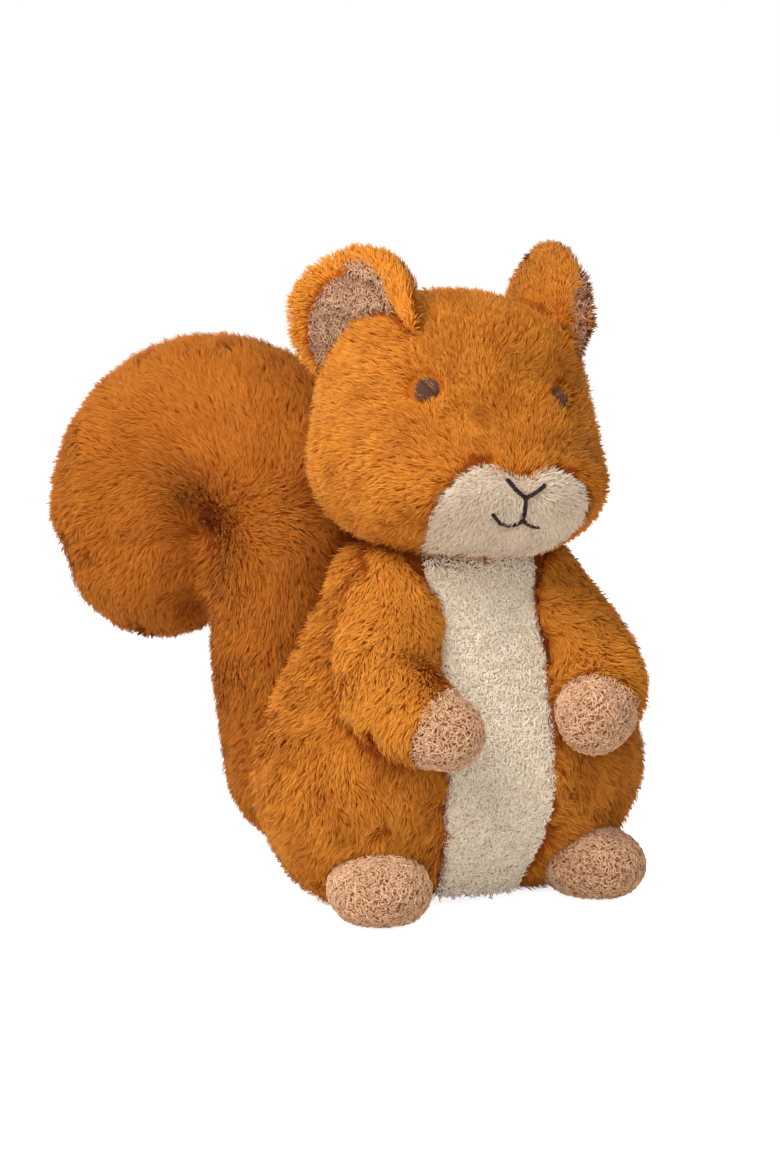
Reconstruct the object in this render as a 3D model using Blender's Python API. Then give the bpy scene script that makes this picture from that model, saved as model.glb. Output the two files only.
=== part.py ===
"""A plush squirrel that sits up with its tail curled behind it, piece by piece as it is sewn.

Every stuffed piece is one solid, as large as the tips of its pile. The squirrel faces -Y, its
own right is -X, and it sits on the ground at z = 0. All sizes are in metres.
"""

import math
from collections import namedtuple

import bmesh
import bpy
from mathutils import Matrix, Vector
from mathutils.bvhtree import BVHTree

# A ring is a level section of a stuffed form, as it reaches to each side, forwards and back.
# Its squareness, in front and behind, is 2 for an ellipse and more for a boxier section.
Ring = namedtuple("Ring", "level half_width front behind")

# Pieces that are sewn together keep this gap, and a pocket's cutter stands out this far.
SEAM_GAP = 0.00035
CUTTER_REACH = 0.004
PANEL_MARGIN = 0.0009

# How finely the forms are built: points around, and rings or rows along.
TORSO_SEGMENTS = (34, 23)
HEAD_SEGMENTS = (34, 22)
TAIL_SEGMENTS = (24, 32)
EAR_SEGMENTS = (22, 8)
ARM_SEGMENTS = (20, 18)
FOOT_SEGMENTS = (20, 12)
THREAD_SIDES = 6
EYE_SIDES = 24
BELLY_SEGMENTS = (8, 20)
MUZZLE_SEGMENTS = (14, 10)
SPINE_SAMPLES = 60

# Longer than any piece, for rays that look for a surface, and smaller than any radius.
RAY_LENGTH = 0.2
TINY = 1e-6

# Torso, from the seat up to the neck. The first ring lies below the ground, which flattens it.
TORSO_BOTTOM = -0.0070
TORSO_RINGS = (
    Ring(level=-0.0050, half_width=0.0340, front=0.0100, behind=0.0210),
    Ring(level=0.0060, half_width=0.0560, front=0.0228, behind=0.0360),
    Ring(level=0.0220, half_width=0.0660, front=0.0345, behind=0.0445),
    Ring(level=0.0420, half_width=0.0718, front=0.0385, behind=0.0470),
    Ring(level=0.0640, half_width=0.0665, front=0.0380, behind=0.0450),
    Ring(level=0.0860, half_width=0.0550, front=0.0335, behind=0.0410),
    Ring(level=0.1060, half_width=0.0445, front=0.0275, behind=0.0355),
    Ring(level=0.1220, half_width=0.0360, front=0.0230, behind=0.0290),
)
TORSO_TOP = 0.1330
TORSO_SQUARENESS = (2.25, 2.25)
THIGH_SWELL = 0.0040
THIGH_ANGLE = math.radians(52.0)
THIGH_SPREAD = math.radians(24.0)
THIGH_LEVEL = 0.0400
THIGH_HEIGHT = 0.0200

# Belly panel, let into the front of the torso.
BELLY_TOP = 0.1200
BELLY_FOOT = 0.0035
BELLY_TOP_HALF_WIDTH = 0.0215
BELLY_HALF_WIDTH = 0.0210
BELLY_FOOT_HALF_WIDTH = 0.0150
BELLY_THICKNESS = 0.0045

# Head, from the chin up to the crown.
HEAD_RINGS = (
    Ring(level=0.1225, half_width=0.0275, front=0.0300, behind=0.0220),
    Ring(level=0.1320, half_width=0.0430, front=0.0480, behind=0.0320),
    Ring(level=0.1460, half_width=0.0490, front=0.0570, behind=0.0370),
    Ring(level=0.1600, half_width=0.0482, front=0.0490, behind=0.0395),
    Ring(level=0.1740, half_width=0.0470, front=0.0355, behind=0.0405),
    Ring(level=0.1880, half_width=0.0420, front=0.0315, behind=0.0375),
    Ring(level=0.2010, half_width=0.0330, front=0.0260, behind=0.0290),
)
CHIN_LEVEL = 0.1190
CROWN_LEVEL = 0.2100
HEAD_SQUARENESS = (2.70, 2.20)
HEAD_ROLL = math.radians(6.5)
HEAD_CENTRE = Vector((0.0, -0.0040, 0.1600))

# Muzzle panel, by angles seen from the head's centre.
MUZZLE_HALF_ANGLE = math.radians(30.5)
MUZZLE_CHIN_HALF_ANGLE = math.radians(42.0)
MUZZLE_LOBE_PITCH = math.radians(-3.5)
MUZZLE_BRIDGE_DIP = math.radians(6.0)
MUZZLE_BRIDGE_SPREAD = 0.3
MUZZLE_END_DROP = math.radians(11.0)
MUZZLE_CHIN_PITCH = math.radians(-56.0)
MUZZLE_THICKNESS = 0.0035
MUZZLE_REACH = 0.0500

# Eyes, sunk into the fur.
EYE_RADIUS = 0.0047
EYE_THICKNESS = 0.0024
EYE_ACROSS = {"right_eye": -0.0267, "left_eye": 0.0241}
EYE_LEVEL = 0.1775
EYE_DEPTH = 0.0012

# Nose and mouth, in thread on the muzzle, a little aslant as they are sewn by hand. Each run of
# thread goes through points of (outward, level), before the head leans over.
THREAD_RADIUS = 0.0008
NOSE_FORK = (0.0006, 0.1456)
STEM_FOOT = (0.0021, 0.1377)
STEM = (NOSE_FORK, (0.0012, 0.1418), STEM_FOOT)
RIGHT_NOSTRIL = (NOSE_FORK, (-0.0033, 0.1479), (-0.0061, 0.1508))
LEFT_NOSTRIL = (NOSE_FORK, (0.0042, 0.1476), (0.0072, 0.1497))
RIGHT_SMILE = (STEM_FOOT, (0.0003, 0.1363), (-0.0026, 0.1357), (-0.0056, 0.1364), (-0.0094, 0.1392))
LEFT_SMILE = (STEM_FOOT, (0.0044, 0.1366), (0.0066, 0.1359), (0.0090, 0.1357))

# Ears, cupped discs of fur that are sunk into the head, each with a terry lining. They are sewn
# on by hand, so the left one stands a little higher and turns further out.
EAR_OUTWARD = {"right": 0.0345, "left": 0.0335}
EAR_BACK = {"right": 0.0040, "left": 0.0048}
EAR_LEVEL = {"right": 0.1955, "left": 0.2025}
EAR_HALF_WIDTH = 0.0300
EAR_HALF_HEIGHT = 0.0265
EAR_HALF_THICKNESS = 0.0085
EAR_CUP = 0.0130
EAR_TURN = {"right": math.radians(67.0), "left": math.radians(80.0)}
EAR_FRONT_RISE = {"right": 0.75, "left": 0.0}
EAR_LEAN = math.radians(6.0)
EAR_SETBACK = 0.0050
EAR_CUP_UPRIGHT = 0.35
LINING_HALF_WIDTH = 0.0170
LINING_HALF_HEIGHT = 0.0195
LINING_HALF_THICKNESS = 0.0036
LINING_LIFT = 0.0062
LINING_BACK = 0.0030
LINING_DOWN = 0.0030

# Arms, whose ends are terry paws.
Joint = namedtuple("Joint", "outward forward level radius")
ARM_JOINTS = (
    Joint(outward=0.0230, forward=0.0060, level=0.1120, radius=0.0165),
    Joint(outward=0.0295, forward=0.0160, level=0.0980, radius=0.0185),
    Joint(outward=0.0375, forward=0.0260, level=0.0840, radius=0.0182),
    Joint(outward=0.0370, forward=0.0380, level=0.0745, radius=0.0175),
    Joint(outward=0.0320, forward=0.0465, level=0.0700, radius=0.0150),
    Joint(outward=0.0280, forward=0.0520, level=0.0680, radius=0.0132),
)
WRIST_SHARE = 0.76

# Feet, flat below.
FOOT_OUTWARD = 0.0412
FOOT_FORWARD = 0.0275
FOOT_HALF_WIDTH = 0.0180
FOOT_HALF_LENGTH = 0.0205
FOOT_HEIGHT = 0.0240
FOOT_FLAT = 0.0030
FOOT_TURN = math.radians(8.0)

# Tail: up behind the back, over and down again, twisted towards the squirrel's right.
TAIL_OUTWARD = -0.0215
TAIL_BEHIND = 0.0720
TAIL_TWIST = math.radians(30.0)
TAIL_HOOK_RADIUS = 0.0369
TAIL_CROWN_LEVEL = 0.1520
TAIL_ROOT_LEVEL = 0.0330
TAIL_ROOT_RADIUS = 0.0305
TAIL_COLUMN_RADIUS = 0.0350
TAIL_TURN_RADIUS = 0.0332
TAIL_CROWN_RADIUS = 0.0325
TAIL_CROWN_SWELL = 0.0022
TAIL_SWELL_START = math.radians(30.0)
TAIL_TIP_RADIUS = 0.0335
TAIL_TIP_LEVEL = 0.1060
TAIL_TIP_TUCK = 0.0080

COLOURS = {
    "fur": (0.56, 0.21, 0.035, 1.0),
    "cream_fur": (0.68, 0.55, 0.40, 1.0),
    "cream_terry": (0.76, 0.66, 0.52, 1.0),
    "beige_terry": (0.56, 0.34, 0.22, 1.0),
    "brown_thread": (0.09, 0.04, 0.03, 1.0),
    "black_thread": (0.02, 0.015, 0.015, 1.0),
}


def new_collection(name):
    collection = bpy.data.collections.new(name)
    bpy.context.scene.collection.children.link(collection)
    return collection


for leftover in list(bpy.data.objects):
    bpy.data.objects.remove(leftover)
PARTS = new_collection("plush_squirrel")
CUTTERS = new_collection("cutters")


def material(slot):
    """Each piece has a fabric or a thread of its own, so each call makes a new material."""
    made = bpy.data.materials.new(slot)
    made.use_nodes = True
    shader = made.node_tree.nodes["Principled BSDF"]
    shader.inputs["Base Color"].default_value = COLOURS[slot]
    shader.inputs["Roughness"].default_value = 0.9
    shader.inputs["Metallic"].default_value = 0.0
    return made


def add_part(name, mesh, slot):
    part = bpy.data.objects.new(name, mesh)
    part.data.materials.append(material(slot))
    part.data.shade_smooth()
    PARTS.objects.link(part)
    return part


def add_cutter(name, mesh):
    cutter = bpy.data.objects.new(name, mesh)
    cutter.hide_render = True
    cutter.display_type = "WIRE"
    CUTTERS.objects.link(cutter)
    return cutter


def combine(part, other, operation="DIFFERENCE"):
    boolean = part.modifiers.new(f"{operation} {other.name}", "BOOLEAN")
    boolean.operation = operation
    boolean.solver = "EXACT"
    boolean.object = other


def smooth_row(rows, share):
    """A point of the smooth line through rows, at a share from 0 to 1 of its length."""
    place = share * (len(rows) - 3)
    step = min(int(place), len(rows) - 4)
    t = place - step
    before, start, end, after = (Vector(row) for row in rows[step:step + 4])
    return 0.5 * (
        2 * start
        + (end - before) * t
        + (2 * before - 5 * start + 4 * end - after) * t ** 2
        + (3 * start - before - 3 * end + after) * t ** 3
    )


def mirrored(row):
    """The row on the far side of a pole, which makes the pole round."""
    return Vector((row[0], *(-value for value in row[1:])))


def sphere_mesh(name, segments, place):
    """A sphere primitive, each of whose points goes to place(angle around, share along)."""
    shaped = bmesh.new()
    bmesh.ops.create_uvsphere(shaped, u_segments=segments[0], v_segments=segments[1], radius=1.0)
    for vertex in shaped.verts:
        share = 1.0 - math.acos(max(-1.0, min(1.0, vertex.co.z))) / math.pi
        angle = math.atan2(vertex.co.x, -vertex.co.y)
        vertex.co = place(angle, share)
    mesh = bpy.data.meshes.new(name)
    shaped.to_mesh(mesh)
    shaped.free()
    return mesh


def no_swell(angle, level):
    return 0.0


def stacked_mesh(name, rings, bottom, top, segments, squareness, swell=no_swell):
    """A stuffed form through level rings. Its angles are measured from -Y towards +X."""
    rows = [Vector((bottom, 0, 0, 0))] + [Vector(ring) for ring in rings] + [Vector((top, 0, 0, 0))]
    rows = [mirrored(rows[1])] + rows + [mirrored(rows[-2])]

    def place(angle, share):
        level, half_width, front, behind = smooth_row(rows, share)
        facing = math.cos(angle) >= 0.0
        depth = front if facing else behind
        power = squareness[0] if facing else squareness[1]
        across = abs(math.sin(angle)) / max(half_width, TINY)
        ahead = abs(math.cos(angle)) / max(depth, TINY)
        reach = (across ** power + ahead ** power) ** (-1.0 / power) + swell(angle, level)
        return Vector((reach * math.sin(angle), -reach * math.cos(angle), level))

    return sphere_mesh(name, segments, place)


def spine_rings(stations, count):
    """Rings (centre, heading, side, radius) along stations of (x, y, z, radius), with round ends."""
    rows = [Vector(station) for station in stations]
    rows = [2 * rows[0] - rows[1]] + rows + [2 * rows[-1] - rows[-2]]
    samples = [smooth_row(rows, step / SPINE_SAMPLES) for step in range(SPINE_SAMPLES + 1)]
    gone = [0.0]
    for before, after in zip(samples, samples[1:]):
        gone.append(gone[-1] + (after.xyz - before.xyz).length)
    first, last = samples[0], samples[-1]
    start_cap = first.w * math.pi / 2
    end_cap = last.w * math.pi / 2
    side = None
    rings = []
    for number in range(count + 1):
        distance = (start_cap + gone[-1] + end_cap) * number / count - start_cap
        step = max(i for i in range(SPINE_SAMPLES) if i == 0 or gone[i] <= distance)
        heading = (samples[step + 1].xyz - samples[step].xyz).normalized()
        if distance < 0.0:
            tilt = (distance + start_cap) / first.w
            centre = first.xyz - heading * first.w * math.cos(tilt)
            radius = first.w * math.sin(tilt)
        elif distance > gone[-1]:
            tilt = (gone[-1] + end_cap - distance) / last.w
            centre = last.xyz + heading * last.w * math.cos(tilt)
            radius = last.w * math.sin(tilt)
        else:
            part_way = (distance - gone[step]) / (gone[step + 1] - gone[step])
            point = samples[step].lerp(samples[step + 1], part_way)
            centre = point.xyz
            radius = point.w
        side = side or heading.orthogonal()
        side = (side - heading * side.dot(heading)).normalized()
        rings.append((centre, heading, side, radius))
    return rings


def spine_mesh(name, stations, segments):
    """A stuffed tube along stations of (x, y, z, radius)."""
    rings = spine_rings(stations, segments[1])

    def place(angle, share):
        centre, heading, side, radius = rings[round(share * segments[1])]
        return centre + radius * (side * math.cos(angle) + heading.cross(side) * math.sin(angle))

    return sphere_mesh(name, segments, place)


def disc_mesh(name, half_size, centre, bend, rise, frame):
    """A sphere primitive pressed to a disc, cupped towards its local +Z and put in its frame.

    Its lower front quarter is drawn up by the share `rise`.
    """
    shaped = bmesh.new()
    bmesh.ops.create_uvsphere(
        shaped, u_segments=EAR_SEGMENTS[0], v_segments=EAR_SEGMENTS[1], radius=1.0
    )
    for vertex in shaped.verts:
        if vertex.co.y < 0.0:
            vertex.co.y *= 1.0 - rise * min(1.0, max(0.0, 0.5 + vertex.co.x))
        local = centre + Vector(value * size for value, size in zip(vertex.co, half_size))
        local.z += bend * (local.x ** 2 + EAR_CUP_UPRIGHT * local.y ** 2)
        vertex.co = frame @ local
    if frame.determinant() < 0.0:
        bmesh.ops.reverse_faces(shaped, faces=shaped.faces)
    mesh = bpy.data.meshes.new(name)
    shaped.to_mesh(mesh)
    shaped.free()
    return mesh


def grown(mesh, by):
    """A copy of a mesh whose surface lies further out."""
    copy = mesh.copy()
    normals = [vertex.normal.copy() for vertex in mesh.vertices]
    for vertex, normal in zip(copy.vertices, normals):
        vertex.co += normal * by
    return copy


def surface_of(mesh):
    shaped = bmesh.new()
    shaped.from_mesh(mesh)
    surface = BVHTree.FromBMesh(shaped)
    shaped.free()
    return surface


def slab_mesh(name, surface, ray, segments, above, below):
    """A grid laid where ray(u, v) leaves a surface, u and v from -1 to 1, as thick as above + below."""
    slab = bmesh.new()
    bmesh.ops.create_grid(slab, x_segments=segments[0], y_segments=segments[1], size=1.0)
    outwards = {}
    for vertex in slab.verts:
        start, heading = ray(vertex.co.x, vertex.co.y)
        vertex.co = surface.ray_cast(start + heading * RAY_LENGTH, -heading)[0]
        outwards[vertex] = heading
    slab.normal_update()
    for vertex in slab.verts:
        side = 1.0 if vertex.normal.dot(outwards[vertex]) > 0.0 else -1.0
        outwards[vertex] = vertex.normal * side
    inner_faces = list(slab.faces)
    inner = list(slab.verts)
    inner_places = {vertex: vertex.co - outwards[vertex] * below for vertex in inner}
    outer_places = {tuple(vertex.co): vertex.co + outwards[vertex] * above for vertex in inner}
    made = bmesh.ops.extrude_face_region(slab, geom=inner_faces, use_keep_orig=True)
    for item in made["geom"]:
        if isinstance(item, bmesh.types.BMVert):
            item.co = outer_places[tuple(item.co)]
    for vertex, place in inner_places.items():
        vertex.co = place
    bmesh.ops.recalc_face_normals(slab, faces=slab.faces)
    slab.normal_update()
    if inner_faces[0].normal.dot(ray(0.0, 0.0)[1]) > 0.0:
        bmesh.ops.reverse_faces(slab, faces=slab.faces)
    mesh = bpy.data.meshes.new(name)
    slab.to_mesh(mesh)
    slab.free()
    return mesh


def add_panel(name, slot, carrier, surface, ray, segments, thickness, turn=Matrix()):
    """A panel let into its carrier, flush with it. ray(u, v, margin) gives its outline."""
    face = slab_mesh(name, surface, lambda u, v: ray(u, v, 0.0), segments, 0.0, thickness)
    face.transform(turn)
    panel = add_part(name, face, slot)
    hollow = slab_mesh(
        f"{name} pocket",
        surface,
        lambda u, v: ray(u, v, PANEL_MARGIN),
        segments,
        CUTTER_REACH,
        thickness + PANEL_MARGIN,
    )
    hollow.transform(turn)
    combine(carrier, add_cutter(f"{name} pocket", hollow))
    return panel


def cut_off(mesh, point, normal):
    """Keeps what lies behind a plane, and closes the cut."""
    shaped = bmesh.new()
    shaped.from_mesh(mesh)
    everything = shaped.verts[:] + shaped.edges[:] + shaped.faces[:]
    cut = bmesh.ops.bisect_plane(
        shaped, geom=everything, plane_co=point, plane_no=normal, clear_outer=True
    )
    edges = [item for item in cut["geom_cut"] if isinstance(item, bmesh.types.BMEdge)]
    bmesh.ops.edgeloop_fill(shaped, edges=edges)
    bmesh.ops.recalc_face_normals(shaped, faces=shaped.faces)
    shaped.to_mesh(mesh)
    shaped.free()


def flatten(mesh):
    """Sets a form on the ground: what lies below it is pressed flat."""
    for vertex in mesh.vertices:
        vertex.co.z = max(vertex.co.z, 0.0)


def thigh_swell(angle, level):
    aside = (abs(angle) - THIGH_ANGLE) / THIGH_SPREAD
    above = (level - THIGH_LEVEL) / THIGH_HEIGHT
    return THIGH_SWELL * math.exp(-aside ** 2 - above ** 2)


def add_torso():
    mesh = stacked_mesh(
        "torso", TORSO_RINGS, TORSO_BOTTOM, TORSO_TOP, TORSO_SEGMENTS, TORSO_SQUARENESS, thigh_swell
    )
    flatten(mesh)
    surface = surface_of(mesh)
    torso = add_part("torso", mesh, "fur")

    def ray(u, v, margin):
        share = (v + 1.0) / 2.0
        level = BELLY_FOOT + (BELLY_TOP - BELLY_FOOT) * share
        waist = math.sin(math.pi * share)
        ends = BELLY_FOOT_HALF_WIDTH + (BELLY_TOP_HALF_WIDTH - BELLY_FOOT_HALF_WIDTH) * share
        half_width = ends + (BELLY_HALF_WIDTH - ends) * waist
        outward = u * (half_width + margin)
        return Vector((outward, 0.0, level + v * margin)), Vector((0.0, -1.0, 0.0))

    add_panel(
        "belly_panel", "cream_terry", torso, surface, ray, BELLY_SEGMENTS, BELLY_THICKNESS
    )
    return torso, add_cutter("room for the torso", grown(mesh, SEAM_GAP))


def head_turn():
    """The head leans a little, towards the squirrel's left."""
    neck = Matrix.Translation((0.0, 0.0, HEAD_CENTRE.z))
    return neck @ Matrix.Rotation(HEAD_ROLL, 4, "Y") @ neck.inverted()


def add_head(torso_room):
    turn = head_turn()
    mesh = stacked_mesh(
        "head", HEAD_RINGS, CHIN_LEVEL, CROWN_LEVEL, HEAD_SEGMENTS, HEAD_SQUARENESS
    )
    surface = surface_of(mesh)
    room_mesh = grown(mesh, SEAM_GAP)
    mesh.transform(turn)
    room_mesh.transform(turn)
    head = add_part("head", mesh, "fur")
    combine(head, torso_room)

    def ray(u, v, margin):
        share = (1.0 - v) / 2.0
        lobes = MUZZLE_LOBE_PITCH - MUZZLE_BRIDGE_DIP * math.exp(-(u / MUZZLE_BRIDGE_SPREAD) ** 2)
        top = lobes - MUZZLE_END_DROP * abs(u) ** 4
        pitch = top + (MUZZLE_CHIN_PITCH - top) * share + v * margin / MUZZLE_REACH
        widest = MUZZLE_HALF_ANGLE + (MUZZLE_CHIN_HALF_ANGLE - MUZZLE_HALF_ANGLE) * share
        angle = u * (widest + margin / MUZZLE_REACH)
        level_reach = math.cos(pitch)
        direction = Vector(
            (math.sin(angle) * level_reach, -math.cos(angle) * level_reach, math.sin(pitch))
        )
        return HEAD_CENTRE, direction

    muzzle = add_panel(
        "muzzle", "cream_fur", head, surface, ray, MUZZLE_SEGMENTS, MUZZLE_THICKNESS, turn
    )
    combine(muzzle, torso_room)
    for name in EYE_ACROSS:
        add_eye(name, surface, turn, head)
    add_face_stitch(surface, turn)
    return head, add_cutter("room for the head", room_mesh)


def cylinder_mesh(name, radius, depth, frame):
    shaped = bmesh.new()
    bmesh.ops.create_cone(
        shaped, cap_ends=True, segments=EYE_SIDES, radius1=radius, radius2=radius, depth=depth, matrix=frame
    )
    mesh = bpy.data.meshes.new(name)
    shaped.to_mesh(mesh)
    shaped.free()
    return mesh


def add_eye(name, surface, turn, head):
    """A disc of satin stitch, sunk to just below the tips of the fur."""
    place, normal, _, _ = surface.ray_cast(
        Vector((EYE_ACROSS[name], -RAY_LENGTH, EYE_LEVEL)), Vector((0.0, 1.0, 0.0))
    )
    facing = normal.to_track_quat("Z", "Y").to_matrix().to_4x4()
    disc_centre = place - normal * (EYE_DEPTH + EYE_THICKNESS / 2)
    disc = cylinder_mesh(name, EYE_RADIUS, EYE_THICKNESS, turn @ Matrix.Translation(disc_centre) @ facing)
    add_part(name, disc, "brown_thread")
    floor = EYE_DEPTH + EYE_THICKNESS + SEAM_GAP
    room_centre = place + normal * (CUTTER_REACH - floor) / 2
    room = cylinder_mesh(
        f"{name} pocket",
        EYE_RADIUS + SEAM_GAP,
        CUTTER_REACH + floor,
        turn @ Matrix.Translation(room_centre) @ facing,
    )
    combine(head, add_cutter(f"{name} pocket", room))


def add_face_stitch(surface, turn):
    """A Y for the nose, its stem and a smile, as one run of thread on the muzzle."""

    def thread(points):
        stations = []
        for outward, level in points:
            hit = surface.ray_cast(Vector((outward, -RAY_LENGTH, level)), Vector((0.0, 1.0, 0.0)))
            stations.append((*(hit[0] + hit[1] * (THREAD_RADIUS + SEAM_GAP)), THREAD_RADIUS))
        mesh = spine_mesh("thread", stations, (THREAD_SIDES, 4 + len(stations)))
        mesh.transform(turn)
        return mesh

    stitch = add_part("face_stitch", thread(STEM), "black_thread")
    for run in (RIGHT_NOSTRIL, LEFT_NOSTRIL, RIGHT_SMILE, LEFT_SMILE):
        combine(stitch, add_cutter("run of thread", thread(run)), "UNION")


def add_ear(side, sign, turn, head_room):
    """A cupped ear, seen along its local axes: X forwards, Y up and Z out of the cup."""
    out = Vector((math.sin(EAR_TURN[side]), -math.cos(EAR_TURN[side]), 0.0))
    up = Vector((0.0, 0.0, 1.0))
    forwards = up.cross(out) * -1.0
    facing = out * math.cos(EAR_LEAN) - up * math.sin(EAR_LEAN)
    rising = up * math.cos(EAR_LEAN) + out * math.sin(EAR_LEAN)
    axes = Matrix((forwards, rising, facing)).transposed().to_4x4()
    mirror = Matrix.Diagonal((sign, 1.0, 1.0, 1.0))
    place = (EAR_OUTWARD[side], EAR_BACK[side], EAR_LEVEL[side])
    frame = turn @ mirror @ Matrix.Translation(place) @ axes
    bend = EAR_CUP / EAR_HALF_WIDTH ** 2
    rise = EAR_FRONT_RISE[side]
    ear_size = (EAR_HALF_WIDTH, EAR_HALF_HEIGHT, EAR_HALF_THICKNESS)
    ear_centre = Vector((0.0, 0.0, -EAR_SETBACK))
    ear_mesh = disc_mesh(f"{side}_ear", ear_size, ear_centre, bend, rise, frame)
    ear = add_part(f"{side}_ear", ear_mesh, "fur")
    lining_size = (LINING_HALF_WIDTH, LINING_HALF_HEIGHT, LINING_HALF_THICKNESS)
    lining_centre = Vector((-LINING_BACK, -LINING_DOWN, LINING_LIFT - EAR_SETBACK))
    lining_mesh = disc_mesh(f"{side}_ear_lining", lining_size, lining_centre, bend, rise, frame)
    lining = add_part(f"{side}_ear_lining", lining_mesh, "beige_terry")
    room_size = [size + SEAM_GAP for size in lining_size]
    room = disc_mesh(f"{side} lining pocket", room_size, lining_centre, bend, rise, frame)
    combine(ear, head_room)
    combine(ear, add_cutter(f"{side} lining pocket", room))
    combine(lining, head_room)


def add_arm(side, sign, torso_room, head_room):
    """A sleeve and the paw at its end, cut from one form at the wrist."""
    stations = [
        (sign * joint.outward, -joint.forward, joint.level, joint.radius) for joint in ARM_JOINTS
    ]
    rings = spine_rings(stations, ARM_SEGMENTS[1])
    wrist, heading, _, _ = rings[round(WRIST_SHARE * ARM_SEGMENTS[1])]
    sleeve = spine_mesh(f"{side}_arm", stations, ARM_SEGMENTS)
    paw = sleeve.copy()
    cut_off(sleeve, wrist, heading)
    cut_off(paw, wrist + heading * SEAM_GAP, -heading)
    arm = add_part(f"{side}_arm", sleeve, "fur")
    hand = add_part(f"{side}_paw", paw, "beige_terry")
    for piece in (arm, hand):
        combine(piece, torso_room)
    combine(arm, head_room)


def add_foot(side, sign, torso_room):
    turn = Matrix.Rotation(sign * FOOT_TURN, 4, "Z")
    middle = Matrix.Translation((sign * FOOT_OUTWARD, -FOOT_FORWARD, 0.0))
    half_height = (FOOT_HEIGHT + FOOT_FLAT) / 2

    def place(angle, share):
        level = FOOT_HEIGHT - half_height - half_height * math.cos(math.pi * share)
        girth = math.sin(math.pi * share)
        across = FOOT_HALF_WIDTH * girth * math.sin(angle)
        ahead = -FOOT_HALF_LENGTH * girth * math.cos(angle)
        return middle @ turn @ Vector((across, ahead, level))

    mesh = sphere_mesh(f"{side}_foot", FOOT_SEGMENTS, place)
    flatten(mesh)
    combine(add_part(f"{side}_foot", mesh, "beige_terry"), torso_room)


def add_tail(torso_room, head_room):
    root = Vector((TAIL_OUTWARD, TAIL_BEHIND, 0.0))
    away = Vector((-math.sin(TAIL_TWIST), math.cos(TAIL_TWIST), 0.0))
    turn_level = TAIL_CROWN_LEVEL - TAIL_HOOK_RADIUS
    stations = []
    for level, radius in (
        (TAIL_ROOT_LEVEL, TAIL_ROOT_RADIUS),
        ((TAIL_ROOT_LEVEL + turn_level) / 2, TAIL_COLUMN_RADIUS),
        (turn_level, TAIL_TURN_RADIUS),
    ):
        stations.append((root.x, root.y, level, radius))
    for degrees in range(30, 181, 30):
        turned = math.radians(degrees)
        place = root + away * TAIL_HOOK_RADIUS * (1.0 - math.cos(turned))
        place.z = turn_level + TAIL_HOOK_RADIUS * math.sin(turned)
        towards_tip = max(0.0, -math.cos(turned))
        radius = TAIL_CROWN_RADIUS + (TAIL_TIP_RADIUS - TAIL_CROWN_RADIUS) * towards_tip
        radius += TAIL_CROWN_SWELL * math.sin(turned - TAIL_SWELL_START)
        stations.append((*place, radius))
    tip = root + away * (2.0 * TAIL_HOOK_RADIUS - TAIL_TIP_TUCK)
    stations.append((tip.x, tip.y, TAIL_TIP_LEVEL, TAIL_TIP_RADIUS))
    tail = add_part("tail", spine_mesh("tail", stations, TAIL_SEGMENTS), "fur")
    combine(tail, torso_room)
    combine(tail, head_room)


def build():
    _, torso_room = add_torso()
    _, head_room = add_head(torso_room)
    add_tail(torso_room, head_room)
    for side, sign in (("right", -1), ("left", 1)):
        add_ear(side, sign, head_turn(), head_room)
        add_arm(side, sign, torso_room, head_room)
        add_foot(side, sign, torso_room)


build()
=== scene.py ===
# %% [markdown]
# # A plush squirrel
# A sitting toy squirrel is dressed here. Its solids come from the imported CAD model, and every one
# of them ends at the tips of the fur. The fabric itself lies a little deeper, and the pile stands
# on it. The real toy is sewn from three fabrics: a long caramel pile, a short cream pile and curly
# terry.

# %% Tools and the frame
import math

import bmesh
import bpy
import numpy as np
from mathutils import Matrix, Vector, kdtree
from mathutils.bvhtree import BVHTree


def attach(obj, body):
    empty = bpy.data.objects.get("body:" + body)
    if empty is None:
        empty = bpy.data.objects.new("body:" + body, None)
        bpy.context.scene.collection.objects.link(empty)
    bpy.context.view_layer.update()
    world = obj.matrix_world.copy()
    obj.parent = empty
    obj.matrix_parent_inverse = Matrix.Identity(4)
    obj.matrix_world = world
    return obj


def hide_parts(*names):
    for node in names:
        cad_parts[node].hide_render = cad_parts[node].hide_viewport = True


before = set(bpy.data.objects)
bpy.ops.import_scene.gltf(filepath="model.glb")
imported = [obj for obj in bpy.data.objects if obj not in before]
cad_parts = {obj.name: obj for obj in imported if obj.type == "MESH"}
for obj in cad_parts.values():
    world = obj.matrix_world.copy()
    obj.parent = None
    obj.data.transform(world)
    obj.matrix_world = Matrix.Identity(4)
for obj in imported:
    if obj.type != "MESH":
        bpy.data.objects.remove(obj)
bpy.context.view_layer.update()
MM = 0.001
print("nodes:", sorted(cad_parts))

# %% [markdown]
# The photograph was taken from the squirrel's right front, a little above it, with a long lens.
# A long lens far away gives the same flat perspective, so the ears and the feet keep their sizes.

# %% Camera
CAMERA_TURN = math.radians(27.0)
CAMERA_RISE = math.radians(10.0)
CAMERA_DISTANCE = 1.30
CAMERA_AIM = Vector((0.0, 0.0, 0.1075))
looking = Vector((
    math.sin(CAMERA_TURN) * math.cos(CAMERA_RISE),
    math.cos(CAMERA_TURN) * math.cos(CAMERA_RISE),
    -math.sin(CAMERA_RISE),
))
lens = bpy.data.cameras.new("portrait_lens")
lens.lens = 116.0
lens.sensor_width = 36.0
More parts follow.
